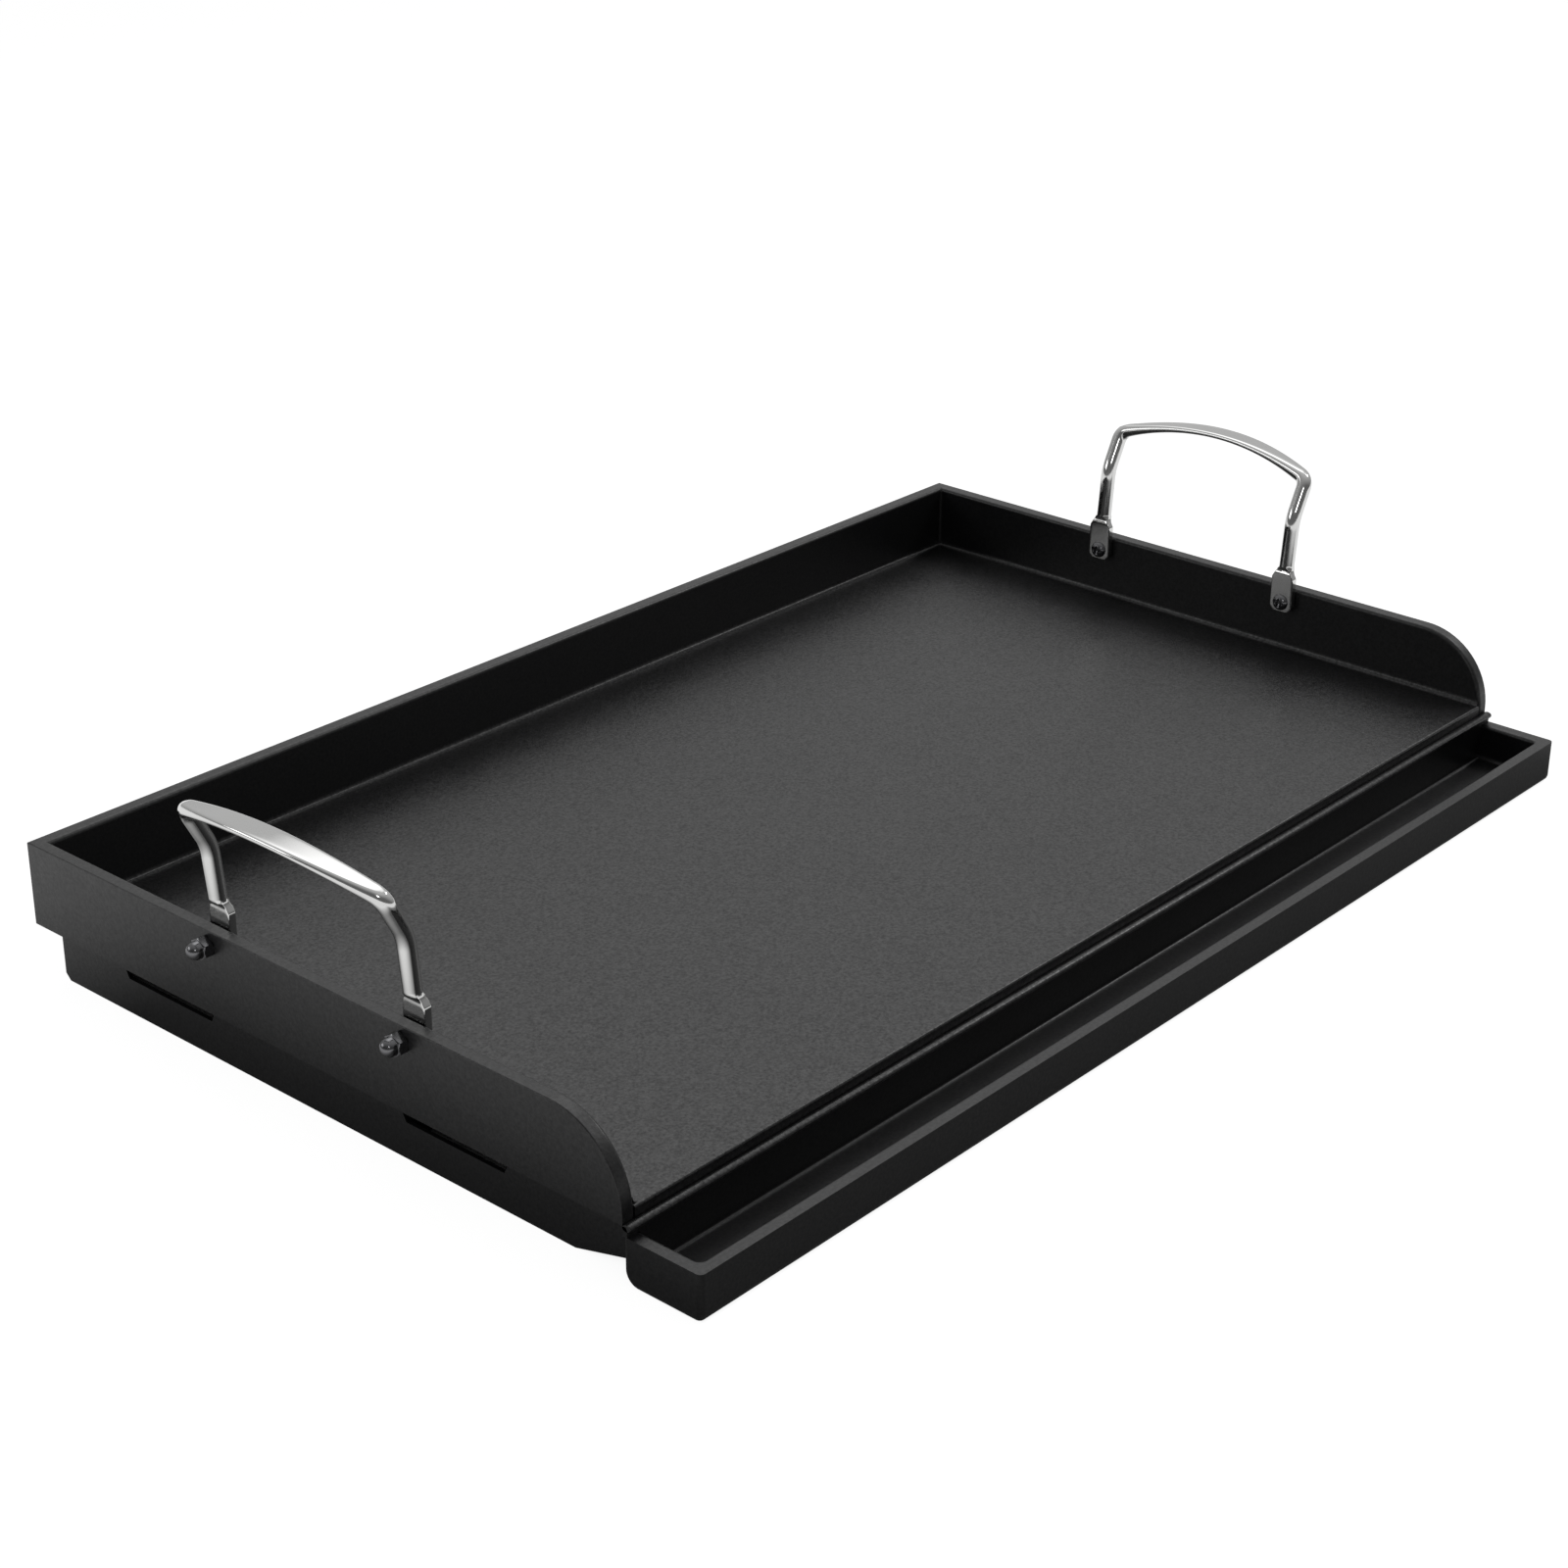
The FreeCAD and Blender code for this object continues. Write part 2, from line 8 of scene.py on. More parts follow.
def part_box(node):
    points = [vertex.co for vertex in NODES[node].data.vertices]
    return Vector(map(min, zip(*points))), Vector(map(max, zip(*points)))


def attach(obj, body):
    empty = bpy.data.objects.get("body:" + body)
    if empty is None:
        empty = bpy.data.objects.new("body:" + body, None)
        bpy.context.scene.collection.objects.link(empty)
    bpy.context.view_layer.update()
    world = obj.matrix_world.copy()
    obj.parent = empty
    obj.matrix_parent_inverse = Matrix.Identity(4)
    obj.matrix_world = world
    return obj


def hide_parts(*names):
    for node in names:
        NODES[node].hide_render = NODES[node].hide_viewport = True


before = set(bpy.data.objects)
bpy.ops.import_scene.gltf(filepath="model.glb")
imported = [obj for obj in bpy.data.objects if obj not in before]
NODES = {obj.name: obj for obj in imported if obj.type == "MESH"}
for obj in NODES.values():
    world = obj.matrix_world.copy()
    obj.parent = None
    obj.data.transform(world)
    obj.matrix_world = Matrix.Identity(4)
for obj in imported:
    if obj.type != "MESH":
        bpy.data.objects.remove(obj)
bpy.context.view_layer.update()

MM = 0.001


# ---------------------------------------------------------------- colours and node trees

def linear(hex_colour):
    """An sRGB hex colour as linear RGBA."""
    channels = [int(hex_colour[i:i + 2], 16) / 255 for i in (1, 3, 5)]
    return [c / 12.92 if c <= 0.04045 else ((c + 0.055) / 1.055) ** 2.4
            for c in channels] + [1.0]


def add(tree, kind, inputs=None, **settings):
    """Add a node; inputs maps a socket to a value or to another node's output socket."""
    node = tree.nodes.new(kind)
    for name, value in settings.items():
        setattr(node, name, value)
    for socket, value in (inputs or {}).items():
        if isinstance(value, bpy.types.NodeSocket):
            tree.links.new(value, node.inputs[socket])
        else:
            node.inputs[socket].default_value = value
    return node


def new_material(name):
    """An empty material, with its node tree and output node."""
    material = bpy.data.materials.new(name)
    material.use_nodes = True
    tree = material.node_tree
    tree.nodes.clear()
    return material, tree, add(tree, "ShaderNodeOutputMaterial")


def noise(tree, place, size_mm, detail, roughness, stretch=(1.0, 1.0, 1.0)):
    """Noise whose features are about size_mm across, drawn out along an axis by stretch."""
    scaled = add(tree, "ShaderNodeVectorMath", {0: place, 1: stretch}, operation="MULTIPLY")
    return add(tree, "ShaderNodeTexNoise",
               {"Vector": scaled.outputs["Vector"], "Scale": 1 / (size_mm * MM),
                "Detail": detail, "Roughness": roughness}).outputs["Fac"]


def spread(tree, value, low, high):
    """Map the middle of a noise's range to low..high."""
    return add(tree, "ShaderNodeMapRange",
               {"Value": value, "From Min": 0.3, "From Max": 0.7,
                "To Min": low, "To Max": high}).outputs["Result"]


# ---------------------------------------------------------------- materials

CLOUD_MM = 38.0
CLOUD_SWING = 0.02
GLINT_TO_GRAIN = 0.8
SPECULAR_MIDDLE = 0.5
DRAG_MM = 0.5
WAVE_MM = 9.0


def black_coating(name, colour, grain_mm, grain_depth, roughness_low, roughness_high, glitter):
    """A sprayed black coating: dark satin, with a fine grain that breaks up its highlights."""
    material, tree, output = new_material(name)
    place = add(tree, "ShaderNodeTexCoord").outputs["Object"]
    grain = noise(tree, place, grain_mm, 3.0, 0.6)
    cloud = noise(tree, place, CLOUD_MM, 2.0, 0.5)
    fine = add(tree, "ShaderNodeBump",
               {"Height": grain, "Strength": 1.0, "Distance": grain_depth * MM})
    roughness = add(tree, "ShaderNodeMath",
                    {0: spread(tree, grain, roughness_low, roughness_high),
                     1: spread(tree, cloud, -CLOUD_SWING, CLOUD_SWING)}, operation="ADD")
    glint = spread(tree, noise(tree, place, grain_mm * GLINT_TO_GRAIN, 2.0, 0.6),
                   SPECULAR_MIDDLE - glitter, SPECULAR_MIDDLE + glitter)
    shader = add(tree, "ShaderNodeBsdfPrincipled",
                 {"Base Color": linear(colour), "IOR": 1.5, "Roughness": roughness.outputs[0],
                  "Specular IOR Level": glint, "Normal": fine.outputs["Normal"]})
    tree.links.new(shader.outputs["BSDF"], output.inputs["Surface"])
    return material


def polished_metal(name, colour, roughness_low, roughness_high, stretch, wave_depth):
    """Polished metal: mirror bright, with a faint drag of the buffing wheel in its highlights."""
    material, tree, output = new_material(name)
    place = add(tree, "ShaderNodeTexCoord").outputs["Object"]
    drag = noise(tree, place, DRAG_MM, 2.0, 0.5, stretch)
    wave = noise(tree, place, WAVE_MM, 1.0, 0.5)
    bump = add(tree, "ShaderNodeBump",
               {"Height": wave, "Strength": 1.0, "Distance": wave_depth * MM})
    shader = add(tree, "ShaderNodeBsdfPrincipled",
                 {"Base Color": linear(colour), "Metallic": 1.0,
                  "Roughness": spread(tree, drag, roughness_low, roughness_high),
                  "Normal": bump.outputs["Normal"]})
    tree.links.new(shader.outputs["BSDF"], output.inputs["Surface"])
    return material


# Non-stick spray on the plate, its coved foot and the lip: a sandy grain under the lamps.
nonstick = black_coating("textured_nonstick_spray", "#141415", 1.6, 0.07, 0.30, 0.42, 0.22)
# Baked powder coat on walls, rail, trough, skirt and braces: the same black, but smoother.
powder_coat = black_coating("satin_powder_coat", "#111112", 1.8, 0.04, 0.34, 0.42, 0.10)
# Polished stainless rod: almost a mirror, so the plate and the room show in it as streaks.
stainless = polished_metal("polished_stainless", "#d2d2d1", 0.07, 0.15, (1.0, 0.12, 0.12), 0.01)
# Nickel-plated fasteners: darker and a little softer than the rod.
plated = polished_metal("dark_nickel_plate", "#6c6c6e", 0.14, 0.24, (1.0, 1.0, 1.0), 0.002)


def dress(node_name, material):
    """Give a CAD node a material."""
    mesh = NODES[node_name].data
    mesh.materials.clear()
    mesh.materials.append(material)


# ---------------------------------------------------------------- surfaces

def grid_mesh(name, grid, material, crease):
    """A closed mesh from a grid of points: rows run along, columns run around.

    The last column joins the first, and a face closes each end row. The order of the columns
    decides which way the faces point. Edges that turn by more than crease degrees stay sharp.
    """
    rows, columns = grid.shape[:2]
    index = np.arange(rows * columns).reshape(rows, columns)
    near, far = index[:-1], index[1:]
    quads = np.stack([near, np.roll(near, -1, axis=1), np.roll(far, -1, axis=1), far], axis=-1)
    faces = quads.reshape(-1, 4).tolist() + [index[0][::-1].tolist(), index[-1].tolist()]
    mesh = bpy.data.meshes.new(name)
    mesh.from_pydata((grid.reshape(-1, 3) * MM).tolist(), [], faces)
    mesh.polygons.foreach_set("use_smooth", np.ones(len(faces), dtype=bool))
    mesh.set_sharp_from_angle(angle=math.radians(crease))
    mesh.materials.append(material)
    piece = bpy.data.objects.new(name, mesh)
    bpy.context.scene.collection.objects.link(piece)
    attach(piece, "root")
    return piece


def box_mm(node):
    """The lowest and highest corners of a node, in millimetres."""
    low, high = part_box(node)
    return np.array(low) / MM, np.array(high) / MM


def soft_least(value, limit, blend):
    """The smaller of two sizes, with the corner between them rounded over about blend."""
    least = np.minimum(value, limit)
    return least - blend * np.log(np.exp(-(value - least) / blend)
                                  + np.exp(-(limit - least) / blend))


# ---------------------------------------------------------------- handles

ROD_RADIUS = 4.0
ROD_COLUMNS = 96

# The pressed end, from its foot up to the neck where the round rod begins.
TAB_THICK = 4.0
TAB_WIDTH = 13.0
TAB_CHAMFER = 2.0
FOOT_HALF_THICK = 1.9
TAB_FULL_RISE = 18.5
SHOULDER_RISE = 22.6
SHOULDER_HALF_WIDTH = 4.3
NECK_RISE = 24.1
TAB_SQUARENESS = 14.0
SHOULDER_SQUARENESS = 8.0

# The leg: how far it stands outside the tab's middle, and how far it leans out.
LEG_SHIFT = 1.5
NECK_BLEND = 3.0
LEG_START_DROP = 2.0
LEG_LEAN = 2.5
LEG_LEAN_RISE = 44.9

# The grip: an arch between two elbows, whose rise is above the screws.
ELBOW_OUT = 12.7
ELBOW_RISE = 64.4
ARCH_OUT = 7.3
ARCH_UP = 10.1
ARCH_POINTS = 61
GRIP_WIDTH = 12.6
GRIP_THICK = 3.0
GRIP_SLIMMING = 1.0
GRIP_END_GAP = 2.0
GRIP_FLATTEN_POWER = 0.6
GRIP_EDGE_BLEND = 0.3
UNPRESSED = 50.0

# The path: its spacing, the length that rounds each turn, and the run below the foot.
STATION = 0.8
TURN_BLEND = 11.0
LEAD_IN = 20.0
FOOT_TRIM = 0.6


def rounded_path(corners, spacing, blend):
    """Straight runs through corners, with a moving average over blend that rounds every turn."""
    runs = np.linalg.norm(np.diff(corners, axis=0), axis=1)
    at_corner = np.concatenate([[0.0], np.cumsum(runs)])
    at_point = np.arange(0.0, at_corner[-1], spacing)
    points = np.stack([np.interp(at_point, at_corner, corners[:, axis]) for axis in range(3)],
                      axis=1)
    kernel = np.ones(int(blend / spacing) | 1)
    kernel /= kernel.sum()
    return np.stack([np.convolve(points[:, axis], kernel, "valid") for axis in range(3)], axis=1)


def make_handle(name, side, middle_y, screw_z):
    """A bow handle: a round rod with pressed ends and a grip pressed flat.

    Section at a station: a superellipse |p/P|^n + |q/Q|^n = 1, p outward and q across, with q
    held under a height h. In the legs P = Q = rod radius and n = 2. In the ends P and Q are half
    the tab's thickness and width and n is large. In the grip P grows by the parabola 1 - t^2,
    and h shrinks by it.
    """
    low, high = box_mm(name)
    tab_face = max(abs(low[0]), abs(high[0])) - (high[0] - low[0]) + TAB_THICK
    tab_x = tab_face - TAB_THICK / 2
    half_pitch = (high[1] - low[1] - TAB_WIDTH) / 2
    foot_z = low[2]
    neck_z = foot_z + NECK_RISE
    leg_x = tab_x + LEG_SHIFT
    elbow_x, elbow_z = leg_x + ELBOW_OUT, screw_z + ELBOW_RISE
    arch = np.linspace(-1.0, 1.0, ARCH_POINTS)
    bulge = 1 - arch ** 2
    grip = np.stack([elbow_x + ARCH_OUT * bulge, half_pitch * arch, elbow_z + ARCH_UP * bulge],
                    axis=1)
    leg = np.array([[leg_x, -half_pitch, foot_z - LEAD_IN],
                    [leg_x, -half_pitch, neck_z - LEG_START_DROP],
                    [leg_x + LEG_LEAN, -half_pitch, screw_z + LEG_LEAN_RISE]])
    corners = np.concatenate([leg, grip, leg[::-1] * (1, -1, 1)])
    path = rounded_path(corners, STATION, TURN_BLEND)
    path = path[path[:, 2] > foot_z - FOOT_TRIM]
    path[0, 2] = foot_z
    path[-1, 2] = foot_z

    tangent = np.gradient(path, axis=0)
    tangent /= np.linalg.norm(tangent, axis=1, keepdims=True)
    outward = np.array([1.0, 0.0, 0.0]) - tangent[:, :1] * tangent
    outward /= np.linalg.norm(outward, axis=1, keepdims=True)
    across = np.cross(tangent, outward)
    path[:, 0] -= LEG_SHIFT * np.interp(path[:, 2], [neck_z - NECK_BLEND, neck_z], [1.0, 0.0])

    rise = path[:, 2] - foot_z
    stops = [0.0, TAB_CHAMFER, TAB_FULL_RISE, SHOULDER_RISE, NECK_RISE]
    half_out = np.interp(rise, stops, [FOOT_HALF_THICK, TAB_THICK / 2, TAB_THICK / 2,
                                       TAB_THICK / 2, ROD_RADIUS])
    half_across = np.interp(rise, stops, [TAB_WIDTH / 2 - TAB_CHAMFER, TAB_WIDTH / 2,
                                          TAB_WIDTH / 2, SHOULDER_HALF_WIDTH, ROD_RADIUS])
    power = np.interp(rise, stops, [TAB_SQUARENESS, TAB_SQUARENESS, TAB_SQUARENESS,
                                    SHOULDER_SQUARENESS, 2.0])
    in_grip = np.clip(1 - (path[:, 1] / (half_pitch - GRIP_END_GAP)) ** 2, 0, 1)
    half_out = half_out + (GRIP_WIDTH / 2 - ROD_RADIUS) * in_grip
    half_across = half_across - GRIP_SLIMMING * in_grip
    pressed = ROD_RADIUS - (ROD_RADIUS - GRIP_THICK / 2) * in_grip ** GRIP_FLATTEN_POWER
    height = np.where(path[:, 2] >= elbow_z, pressed, UNPRESSED)

    angle = np.linspace(0, 2 * np.pi, ROD_COLUMNS, endpoint=False)
    cosine, sine = np.cos(angle), np.sin(angle)
    root = 2 / power[:, None]
    p = half_out[:, None] * np.sign(cosine) * np.abs(cosine) ** root
    q = half_across[:, None] * np.abs(sine) ** root
    q = np.sign(sine) * soft_least(q, height[:, None], GRIP_EDGE_BLEND)
    grid = path[:, None] + p[..., None] * outward[:, None] + q[..., None] * across[:, None]
    grid *= (side, 1.0, 1.0)
    grid[..., 1] += middle_y
    if side > 0:
        grid = grid[:, ::-1]
    piece = grid_mesh(name.replace("handle", "bow_handle"), grid, stainless,
                      crease=50.0)
    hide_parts(name)


# ---------------------------------------------------------------- fasteners

POLE_RADIUS = 0.02


def revolved(profile, centre, side, columns=96, radius=None):
    """Points of a surface of revolution about X: profile rows are (distance along X, radius).

    radius may change a row's radius by angle: radius(along, plain radius, angle).
    """
    angle = np.linspace(0, 2 * np.pi, columns, endpoint=False)
    along = np.broadcast_to(profile[:, :1], (len(profile), columns))
    reach = np.broadcast_to(profile[:, 1:2], (len(profile), columns))
    if radius is not None:
        reach = radius(along, reach, angle)
    grid = np.stack([along * side, reach * np.cos(angle), reach * np.sin(angle)], axis=-1)
    return (grid[:, ::-1] if side > 0 else grid) + centre


HEX_FLATS = 9.0
HEX_RISE = 4.5
CHAMFER_SLOPE = 1.7
COLLAR_FILLET = 0.3
DOME_RADIUS = 4.0
DOME_BASE = 5.9


def hexagon(along, reach, angle):
    """Hold the radius under a hexagon's, and under a cone at each end that chamfers its corners."""
    turn = np.mod(angle + np.pi / 6, np.pi / 3) - np.pi / 6
    flat = HEX_FLATS / 2 / np.cos(turn)
    cone = HEX_FLATS / 2 + CHAMFER_SLOPE * np.minimum(along, HEX_RISE - along)
    return np.where(reach > DOME_RADIUS + COLLAR_FILLET,
                    np.minimum(np.minimum(flat, cone), reach), reach)


def make_cap_nut(name, side):
    """A cap nut: a hexagon with chamfered corners, a short collar, and a dome with a pole."""
    low, high = box_mm(name)
    centre = (low + high) / 2
    centre[0] = low[0] if side > 0 else high[0]
    corner = HEX_FLATS / math.sqrt(3)
    hexagon_rows = [(x, corner) for x in np.linspace(0, HEX_RISE, 25)]
    throat = [(HEX_RISE + COLLAR_FILLET * (1 - math.cos(t)),
               DOME_RADIUS + COLLAR_FILLET * (1 - math.sin(t)))
              for t in np.linspace(0, np.pi / 2, 6)]
    dome = [(DOME_BASE + DOME_RADIUS * math.sin(t), DOME_RADIUS * math.cos(t))
            for t in np.linspace(0, np.pi / 2, 26)[:-1]]
    tip = [(DOME_BASE + DOME_RADIUS, POLE_RADIUS)]
    profile = np.array([(0.0, POLE_RADIUS)] + hexagon_rows + throat + dome + tip)
    grid = revolved(profile, centre, side, radius=hexagon)
    piece = grid_mesh(name.replace("cap_nut", "domed_cap_nut"), grid, plated,
                      crease=24.0)
    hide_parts(name)


HEAD_RADIUS = 4.5
HEAD_RISE = 3.2
HEAD_POLE = 0.004
HEAD_POWERS = (2.6, 1.9)
SHANK_RADIUS = 2.5
SHANK_CHAMFER = 0.5
ARM_HALF_WIDTH = 0.55
ARM_HALF_LENGTH = 2.2
RECESS_DEPTH = 1.3
RECESS_EDGE = 0.4
RECESS_REACH = 1.25
RECESS_TAPER = 2.6


def make_screw(name, side):
    """A round-headed screw with a cross recess.

    The head's height at a share r of its radius is H (1 - r^a)^(1/b). Two crossed slots are
    taken from it, whose sides slope and whose depth lessens away from the middle.
    """
    low, high = box_mm(name)
    centre = (low + high) / 2
    inward_end = low[0] if side > 0 else high[0]
    length = high[0] - low[0]
    centre[0] = inward_end + side * HEAD_RISE
    a, b = HEAD_POWERS
    dome_rows = [(-HEAD_RISE * (1 - r ** a) ** (1 / b), HEAD_RADIUS * r)
                 for r in np.linspace(HEAD_POLE, 1.0, 60)]
    shank_end = length - HEAD_RISE
    shank_rows = [(0.0, SHANK_RADIUS), (shank_end - SHANK_CHAMFER, SHANK_RADIUS),
                  (shank_end, SHANK_RADIUS - SHANK_CHAMFER), (shank_end, POLE_RADIUS)]
    grid = revolved(np.array(dome_rows + shank_rows), np.zeros(3), side, columns=144)
    y, z = np.abs(grid[..., 1]), np.abs(grid[..., 2])
    arms = np.minimum(np.maximum(y / ARM_HALF_WIDTH, z / ARM_HALF_LENGTH),
                      np.maximum(z / ARM_HALF_WIDTH, y / ARM_HALF_LENGTH))
    depth = (RECESS_DEPTH * np.clip((RECESS_REACH - arms) / RECESS_EDGE, 0, 1)
             * np.clip(RECESS_REACH - np.hypot(y, z) / RECESS_TAPER, 0, 1))
    on_head = (np.arange(len(grid)) < len(dome_rows))[:, None]
    grid[..., 0] += np.where(on_head, depth * side, 0.0)
    grid += centre
    piece = grid_mesh(name.replace("screw", "round_head_screw"), grid, plated,
                      crease=40.0)
    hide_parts(name)


# ---------------------------------------------------------------- coves and lip

FRONT_EASE = 1.2
PAN_COVE = 3.0
TROUGH_WALL = 6.8
TROUGH_COVE = 1.8
TROUGH_TOE_GAP = 2.5
CORNER_COVE = 1.6
CORNER_COVE_DROP = 1.5
BEAD_HALF_WIDTH = 2.3
BEAD_HALF_RISE = 1.6
BEAD_SETBACK = 0.6
BEAD_DROP = 0.7


def cove(name, corners, inward, radius, material, up=(0.0, 0.0, 1.0)):
    """A concave strip of quarter-round section along a run of corners, mitred at each turn.

    At a corner with inward direction v, section points are corner + a v + b up, with
    (a, b) = radius (1 - sin t, 1 - cos t) for t from 0 to a quarter turn, closed through the
    corner.
    """
    turn = np.linspace(0, np.pi / 2, 9)
    out = radius * np.concatenate([[0.0], 1 - np.sin(turn)])
    rise = radius * np.concatenate([[0.0], 1 - np.cos(turn)])
    grid = (np.array(corners, dtype=float)[:, None]
            + out[:, None] * np.array(inward, dtype=float)[:, None]
            + rise[:, None] * np.array(up))
    return grid_mesh(name, grid, material, crease=60.0)


def make_lip_bead():
    """The rounded lip along the top of the rail: an ellipse section drawn straight along X."""
    rail_low, rail_high = box_mm("drip_rail")
    turn = np.linspace(0, 2 * np.pi, 40, endpoint=False)
    taper = np.array([0.80, 0.95, 1.0, 1.0, 0.95, 0.80])
    end = rail_high[0]
    along = np.array([-end, -end + 0.3, -end + 0.8, end - 0.8, end - 0.3, end])
    grid = np.stack([np.broadcast_to(along[:, None], (len(along), len(turn))),
                     rail_low[1] + BEAD_SETBACK
                     + BEAD_HALF_WIDTH * taper[:, None] * np.cos(turn),
                     rail_high[2] - BEAD_DROP
                     + BEAD_HALF_RISE * taper[:, None] * np.sin(turn)], axis=-1)
    grid_mesh("rail_lip_bead", grid, nonstick, crease=40.0)


def make_coves():
    """The coved feet of pan and trough, and the coves in the pan's two rear corners."""
    around_pan = [(1, 0, 0), (1, -1, 0), (-1, -1, 0), (-1, 0, 0)]
    left, right = plate_low[0], plate_high[0]
    front, back, top = plate_low[1] + FRONT_EASE, plate_high[1], plate_high[2]
    cove("pan_foot_cove",
         [(left, front, top), (left, back, top), (right, back, top), (right, front, top)],
         around_pan, PAN_COVE, nonstick)

    trough_low, trough_high = box_mm("grease_trough")
    rail_low = box_mm("drip_rail")[0]
    end = trough_high[0] - TROUGH_WALL
    toe, heel, floor_z = trough_low[1] + TROUGH_WALL + TROUGH_TOE_GAP, rail_low[1], rail_low[2]
    cove("trough_foot_cove",
         [(-end, toe, floor_z), (-end, heel, floor_z), (end, heel, floor_z), (end, toe, floor_z)],
         around_pan, TROUGH_COVE, powder_coat)

    cove_top = box_mm("left_side_wall")[1][2] - CORNER_COVE_DROP
    for tag, at, way in (("left", left, 1), ("right", right, -1)):
        cove(f"{tag}_corner_cove", [(at, back, top), (at, back, cove_top)],
             [(0, -1, 0), (0, -1, 0)], CORNER_COVE, powder_coat, up=(way, 0, 0))


# ---------------------------------------------------------------- the pieces

plate_low, plate_high = box_mm("cooking_plate")

for name in NODES:
    if name == "cooking_plate":
        dress(name, nonstick)
    elif name.endswith("_handle"):
        dress(name, stainless)
    elif name.endswith(("_screw", "_cap_nut")):
        dress(name, plated)
    else:
        dress(name, powder_coat)

screw_low, screw_high = box_mm("left_front_screw")
SCREW_Z = (screw_low[2] + screw_high[2]) / 2
HANDLE_Y = (screw_low[1] + box_mm("left_rear_screw")[1][1]) / 2
for side_name, side in (("left", -1), ("right", 1)):
    make_handle(f"{side_name}_handle", side, HANDLE_Y, SCREW_Z)
    for end in ("front", "rear"):
        make_screw(f"{side_name}_{end}_screw", side)
        make_cap_nut(f"{side_name}_{end}_cap_nut", side)
make_coves()
make_lip_bead()


# ---------------------------------------------------------------- camera

CAMERA_PLACE = Vector((-979.8, -820.8, 642.8)) * MM
CAMERA_AZIMUTH = math.radians(48.704)
CAMERA_TILT = math.radians(25.052)
CAMERA_ROLL = math.radians(0.243)
LENS_MM = 68.77
SENSOR_MM = 36.0


def make_camera():
    """The camera, looking towards +X and +Y and down on the plate."""
    forward = Vector((math.sin(CAMERA_AZIMUTH) * math.cos(CAMERA_TILT),
                      math.cos(CAMERA_AZIMUTH) * math.cos(CAMERA_TILT), -math.sin(CAMERA_TILT)))
    level = Vector((math.cos(CAMERA_AZIMUTH), -math.sin(CAMERA_AZIMUTH), 0.0))
    upward = level.cross(forward)
    right_hand = level * math.cos(CAMERA_ROLL) + upward * math.sin(CAMERA_ROLL)
    upward = right_hand.cross(forward)
    turn = Matrix((right_hand, upward, -forward)).transposed()
    data = bpy.data.cameras.new("camera")
    data.sensor_width = SENSOR_MM
    data.lens = LENS_MM
    data.clip_start = 0.01
    data.clip_end = 100.0
    camera = bpy.data.objects.new("camera", data)
    camera.matrix_world = Matrix.Translation(CAMERA_PLACE) @ turn.to_4x4()
    bpy.context.scene.collection.objects.link(camera)
    bpy.context.scene.camera = camera


make_camera()


# ---------------------------------------------------------------- floor, world and lights

FLOOR_GLOW = 0.88
FLOOR_REACH = 6.0

# Painted shade: the floor under the plate that gets no glow, in mm in from the plate's edges.
UNLIT_INSET_X = 13.0
UNLIT_INSET_Y = 12.0
UNLIT_SOFT = 3.0

# Painted shadow: the floor around the object that gives no sheen, in m: middle, half width and soft
# edge.
# Painted reflection: the glow the floor shows in sheens only, not as a lamp.
SHEEN_GLOW = 0.8
SHADED_X = (0.0, 0.44, 0.10)
SHADED_Y = (-0.08, 0.38, 0.16)

# The room as a sheen sees it: brighter with the lean of a direction to +X, +Y and up.
LEAN = (0.5, 0.4, 1.0)
WALL_LEAN = (0.0, 0.8)
SHEEN_FRONT = 0.15
SHEEN_REAR = 0.60
ROOF_LEAN = (1.02, 1.30)
SHEEN_ROOF = 2.6
ROOM_LIGHT = 0.16


def within(tree, value, middle, half, soft):
    """One where value lies within half of middle, falling to zero over soft."""
    off = add(tree, "ShaderNodeMath", {0: value, 1: middle}, operation="SUBTRACT")
    gap = add(tree, "ShaderNodeMath", {0: off.outputs[0]}, operation="ABSOLUTE")
    return add(tree, "ShaderNodeMapRange",
               {"Value": gap.outputs[0], "From Min": half, "From Max": half - soft,
                "To Min": 0.0, "To Max": 1.0}).outputs["Result"]


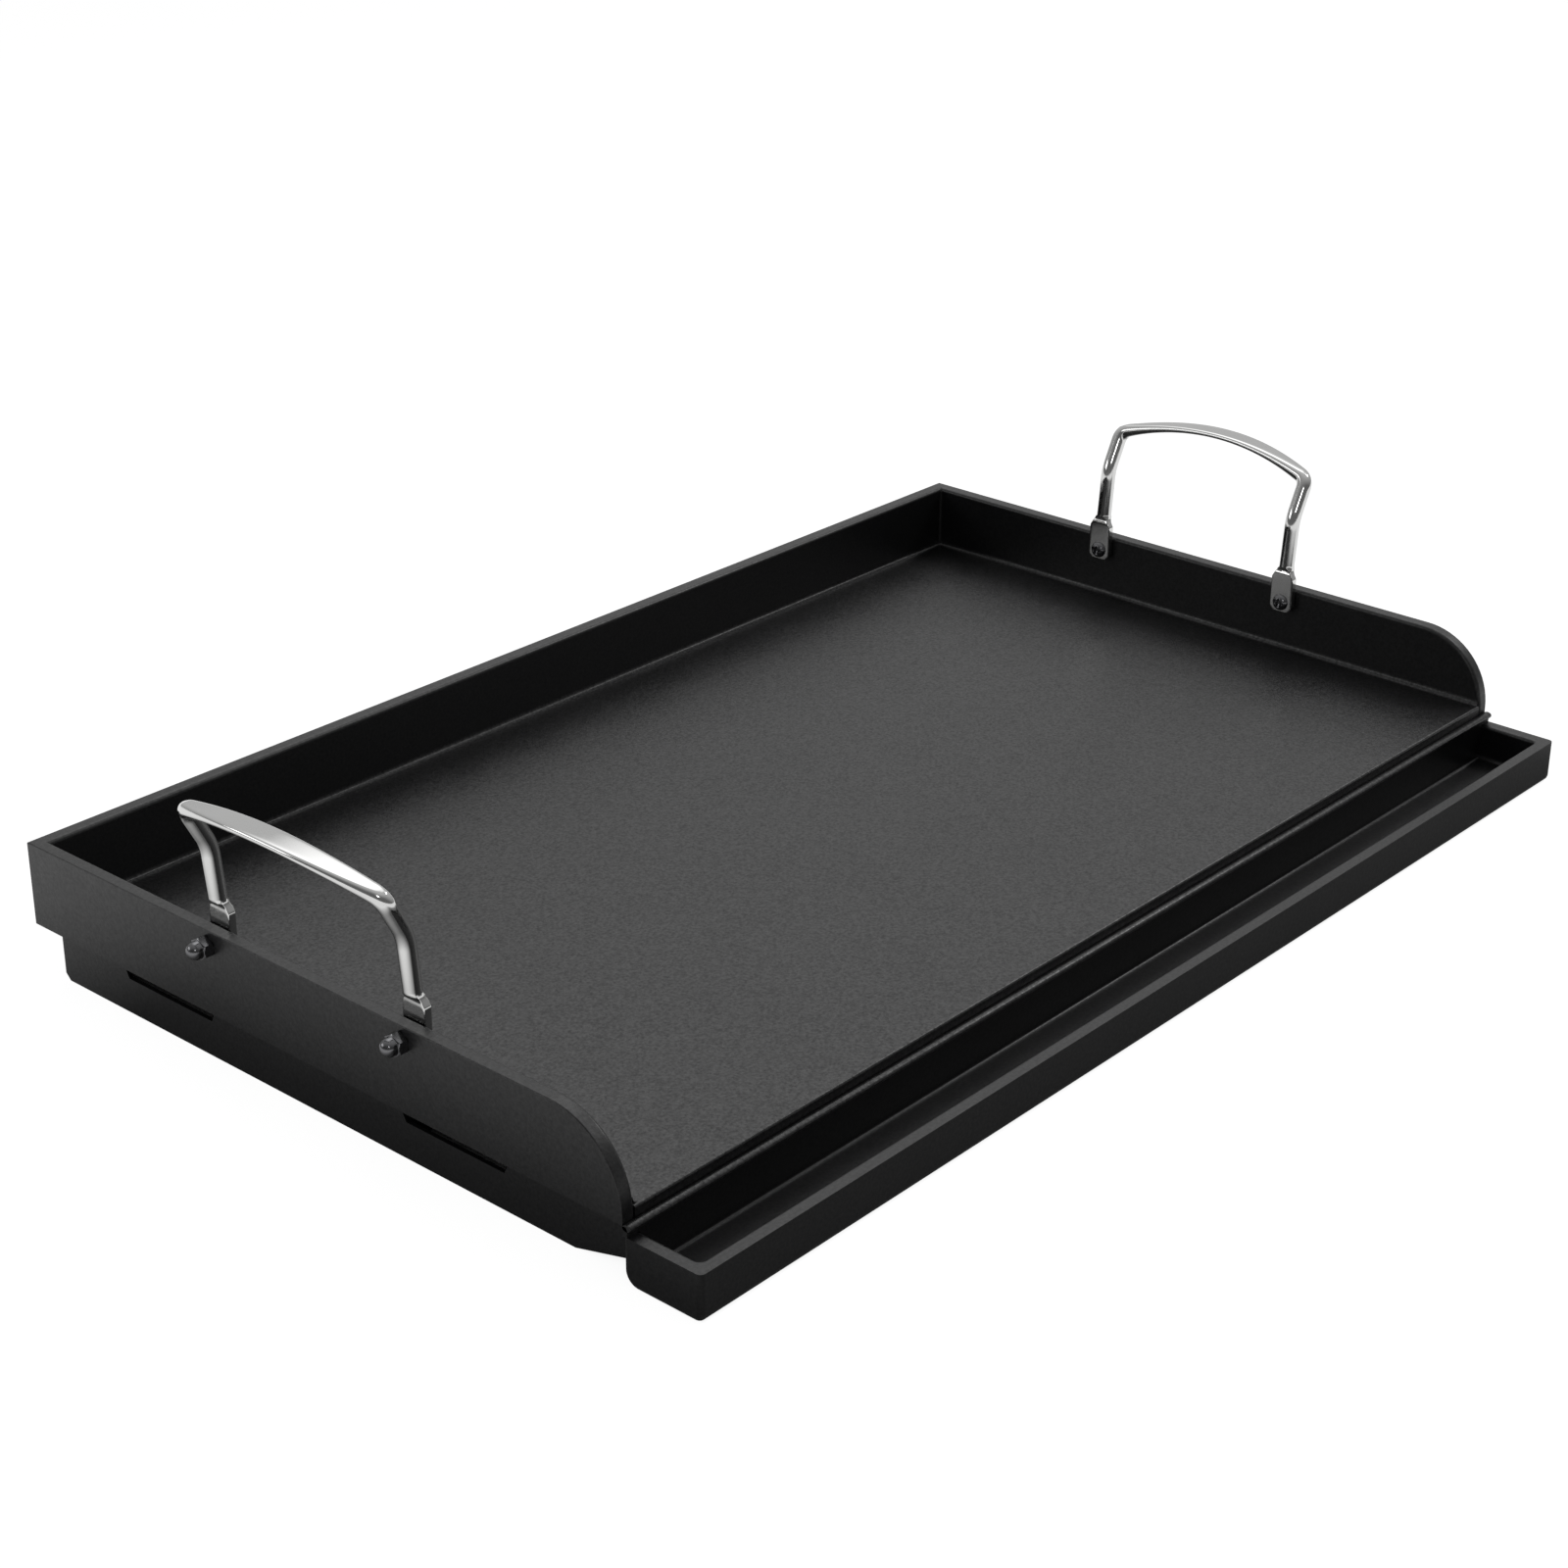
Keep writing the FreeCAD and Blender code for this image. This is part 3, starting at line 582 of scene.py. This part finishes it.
def make_floor():
    """A plain pale floor that shows as white but keeps the object's shadow.

    The glow that makes it white stops under the plate, a painted shade where no studio light would
    reach, so the vents in the skirt stay dark.
    """
    material, tree, output = new_material("pale_floor")
    rays = add(tree, "ShaderNodeLightPath")
    seen = add(tree, "ShaderNodeMath", {0: rays.outputs["Is Camera Ray"],
                                        1: rays.outputs["Is Transmission Ray"]},
               operation="ADD", use_clamp=True)
    place = add(tree, "ShaderNodeTexCoord").outputs["Object"]
    spot = add(tree, "ShaderNodeSeparateXYZ", {"Vector": place})
    half_x = (plate_high[0] - UNLIT_INSET_X) * MM
    middle_y = (plate_low[1] + plate_high[1]) / 2 * MM
    half_y = (plate_high[1] - plate_low[1]) / 2 * MM - UNLIT_INSET_Y * MM
    # Painted shade: a mask that takes the glow away under the plate.
    under = add(tree, "ShaderNodeMath",
                {0: within(tree, spot.outputs["X"], 0.0, half_x, UNLIT_SOFT * MM),
                 1: within(tree, spot.outputs["Y"], middle_y, half_y, UNLIT_SOFT * MM)},
                operation="MULTIPLY")
    open_floor = add(tree, "ShaderNodeMath", {0: 1.0, 1: under.outputs[0]}, operation="SUBTRACT")
    glow_level = add(tree, "ShaderNodeMath", {0: open_floor.outputs[0], 1: FLOOR_GLOW},
                     operation="MULTIPLY")
    # Painted reflection and painted shadow: for glossy rays the floor glows, except around the
    # object.
    shade = add(tree, "ShaderNodeMath", {0: within(tree, spot.outputs["X"], *SHADED_X),
                                         1: within(tree, spot.outputs["Y"], *SHADED_Y)},
                operation="MULTIPLY")
    outside_painted_shadow = add(tree, "ShaderNodeMath", {0: 1.0, 1: shade.outputs[0]}, operation="SUBTRACT")
    sheen = add(tree, "ShaderNodeMath", {0: outside_painted_shadow.outputs[0], 1: rays.outputs["Is Glossy Ray"]},
                operation="MULTIPLY")
    sheen_level = add(tree, "ShaderNodeMath", {0: sheen.outputs[0], 1: SHEEN_GLOW},
                      operation="MULTIPLY")
    seen_level = add(tree, "ShaderNodeMath", {0: glow_level.outputs[0], 1: seen.outputs[0]},
                     operation="MULTIPLY")
    level = add(tree, "ShaderNodeMath", {0: seen_level.outputs[0], 1: sheen_level.outputs[0]},
                operation="ADD")
    diffuse = add(tree, "ShaderNodeBsdfDiffuse", {"Color": linear("#cfcfcf")})
    glow = add(tree, "ShaderNodeEmission", {"Color": (1, 1, 1, 1), "Strength": level.outputs[0]})
    both = add(tree, "ShaderNodeAddShader", {0: diffuse.outputs[0], 1: glow.outputs[0]})
    tree.links.new(both.outputs[0], output.inputs["Surface"])
    reach = FLOOR_REACH
    mesh = bpy.data.meshes.new("floor")
    mesh.from_pydata([(-reach, -reach, 0), (reach, -reach, 0), (reach, reach, 0),
                      (-reach, reach, 0)], [], [(0, 1, 2, 3)])
    mesh.materials.append(material)
    floor = bpy.data.objects.new("floor", mesh)
    bpy.context.scene.collection.objects.link(floor)


def make_world():
    """A plain world: white where it is seen, dim as a light, and in a sheen brighter by lean."""
    world = bpy.data.worlds.new("studio")
    world.use_nodes = True
    tree = world.node_tree
    tree.nodes.clear()
    rays = add(tree, "ShaderNodeLightPath")
    way = add(tree, "ShaderNodeTexCoord").outputs["Generated"]
    lean = add(tree, "ShaderNodeVectorMath", {0: way, 1: LEAN}, operation="DOT_PRODUCT")
    wall = add(tree, "ShaderNodeMapRange",
               {"Value": lean.outputs["Value"], "From Min": WALL_LEAN[0],
                "From Max": WALL_LEAN[1], "To Min": SHEEN_FRONT, "To Max": SHEEN_REAR})
    roof = add(tree, "ShaderNodeMapRange",
               {"Value": lean.outputs["Value"], "From Min": ROOF_LEAN[0],
                "From Max": ROOF_LEAN[1], "To Min": 0.0, "To Max": SHEEN_ROOF})
    sweep = add(tree, "ShaderNodeMath", {0: wall.outputs["Result"], 1: roof.outputs["Result"]},
                operation="ADD")
    sheen = add(tree, "ShaderNodeMapRange",
                {"Value": rays.outputs["Is Glossy Ray"], "To Min": ROOM_LIGHT,
                 "To Max": sweep.outputs[0]})
    level = add(tree, "ShaderNodeMapRange",
                {"Value": rays.outputs["Is Camera Ray"], "To Min": sheen.outputs["Result"],
                 "To Max": 1.0})
    background = add(tree, "ShaderNodeBackground",
                     {"Color": (1, 1, 1, 1), "Strength": level.outputs["Result"]})
    output = add(tree, "ShaderNodeOutputWorld")
    tree.links.new(background.outputs[0], output.inputs["Surface"])
    bpy.context.scene.world = world


def soft_light(name, place, target, width, height, power):
    """A rectangular studio light that faces a target, with sizes in m and power in W."""
    data = bpy.data.lights.new(name, "AREA")
    data.shape = "RECTANGLE"
    data.size = width
    data.size_y = height
    data.energy = power
    lamp = bpy.data.objects.new(name, data)
    lamp.location = place
    lamp.rotation_euler = (Vector(target) - Vector(place)).to_track_quat("-Z", "Y").to_euler()
    bpy.context.scene.collection.objects.link(lamp)


make_floor()
make_world()
soft_light("rear_left_key", (-1.3, 1.1, 0.7), (-0.2, 0.1, 0), width=0.9, height=0.5, power=3)
soft_light("right_side", (1.4, -0.5, 1.4), (0, 0, 0), width=0.5, height=0.4, power=6)
soft_light("front_left", (-1.3, -1.2, 1.1), (-0.1, 0, 0), width=0.3, height=0.3, power=2.2)

view = bpy.context.scene.view_settings
view.view_transform = "Standard"
